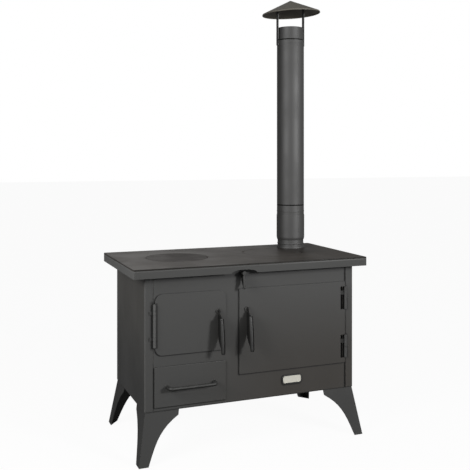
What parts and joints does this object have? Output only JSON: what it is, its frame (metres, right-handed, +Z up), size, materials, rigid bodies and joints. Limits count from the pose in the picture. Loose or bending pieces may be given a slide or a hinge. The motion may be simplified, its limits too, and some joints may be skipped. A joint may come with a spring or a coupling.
{
  "type": "wood_cookstove",
  "caption": "Free-standing wood cookstove of black sheet steel on splayed legs, with firebox, oven, ash drawer, cooking plate with lift-off lids and a tall flue with a cowl",
  "frame": {"origin": "on the floor, under the middle of the box around the whole stove", "axes": "+X to the right as seen from the front, +Y to the back, +Z up"},
  "size_m": [1, 0.5888, 1.8839],
  "materials": {
    "black_steel": "satin black stove paint",
    "plate_steel": "semi-gloss dark plate",
    "cast_iron": "seasoned, matt",
    "flue_steel": "satin black flue enamel",
    "handle_steel": "dark polished steel",
    "inner_steel": "bare sheet steel",
    "firebrick": "rough, matt",
    "plain_plate": "pale satin"
  },
  "bodies": {
    "stove": {"ash_runner_left": "inner_steel", "ash_runner_right": "inner_steel", "base_panel": "black_steel", "brick_front": "firebrick", "brick_left": "firebrick", "brick_rear": "firebrick", "brick_right": "firebrick", "cooktop": "plate_steel", "cowl_cap": "flue_steel", "cowl_collar": "flue_steel", "cowl_strap_left": "flue_steel", "cowl_strap_right": "flue_steel", "firebox_divider": "inner_steel", "firebox_floor": "inner_steel", "firebox_hinge_pin": "black_steel", "firebox_knuckle_lower": "black_steel", "firebox_knuckle_upper": "black_steel", "flue_pipe_lower": "flue_steel", "flue_pipe_upper": "flue_steel", "flue_spigot": "flue_steel", "front_panel": "black_steel", "grate": "cast_iron", "left_side_panel": "black_steel", "leg_front_left": "black_steel", "leg_front_right": "black_steel", "leg_rear_left": "black_steel", "leg_rear_right": "black_steel", "lid_ring_left": "cast_iron", "lid_ring_right": "cast_iron", "nameplate": "plain_plate", "oven_box": "inner_steel", "oven_hinge_seat_lower": "black_steel", "oven_hinge_seat_upper": "black_steel", "oven_rack": "inner_steel", "oven_rail_left": "inner_steel", "oven_rail_right": "inner_steel", "rear_panel": "black_steel", "right_side_panel": "black_steel"},
    "firebox_door": {"firebox_door": "black_steel", "firebox_door_rim": "inner_steel", "firebox_handle_boss": "handle_steel"},
    "firebox_handle": {"firebox_handle": "handle_steel", "firebox_latch": "inner_steel"},
    "oven_door": {"oven_door": "black_steel", "oven_door_rim": "inner_steel", "oven_handle_boss": "handle_steel", "oven_hinge_knuckle_lower": "black_steel", "oven_hinge_knuckle_upper": "black_steel"},
    "oven_handle": {"oven_handle": "handle_steel", "oven_latch": "inner_steel"},
    "ash_drawer": {"ash_drawer_front": "black_steel", "ash_tray_floor": "inner_steel", "ash_tray_side_left": "inner_steel", "ash_tray_side_right": "inner_steel", "ash_tray_rear": "inner_steel", "ash_drawer_handle": "handle_steel"},
    "damper": {"damper_flap": "inner_steel", "damper_handle": "handle_steel"},
    "lid_left": {"lid_left": "cast_iron"},
    "lid_right": {"lid_right": "cast_iron"}
  },
  "joints": [
    {"name": "firebox_door_hinge", "type": "hinge", "parent": "stove", "child": "firebox_door", "pos_m": [-0.4125, -0.2326, 0.5158], "axis": [0, 0, -1], "range_deg": [0, 110]},
    {"name": "firebox_handle_turn", "type": "hinge", "parent": "firebox_door", "child": "firebox_handle", "pos_m": [-0.154, -0.2298, 0.5583], "axis": [0, 1, 0], "range_deg": [0, 90]},
    {"name": "oven_door_hinge", "type": "hinge", "parent": "stove", "child": "oven_door", "pos_m": [0.412, -0.2326, 0.4693], "axis": [0, 0, 1], "range_deg": [0, 110]},
    {"name": "oven_handle_turn", "type": "hinge", "parent": "oven_door", "child": "oven_handle", "pos_m": [-0.033, -0.2298, 0.5583], "axis": [0, -1, 0], "range_deg": [0, 90]},
    {"name": "ash_drawer_slide", "type": "slide", "parent": "stove", "child": "ash_drawer", "axis": [0, -1, 0], "range_m": [0, 0.3]},
    {"name": "damper_turn", "type": "hinge", "parent": "stove", "child": "damper", "pos_m": [-0.055, -0.2435, 0.7033], "axis": [0, -1, 0], "range_deg": [0, 80]},
    {"name": "lid_left_lift", "type": "slide", "parent": "stove", "child": "lid_left", "axis": [0, 0, 1], "range_m": [0, 0.15]},
    {"name": "lid_right_lift", "type": "slide", "parent": "stove", "child": "lid_right", "axis": [0, 0, 1], "range_m": [0, 0.15]}
  ]
}
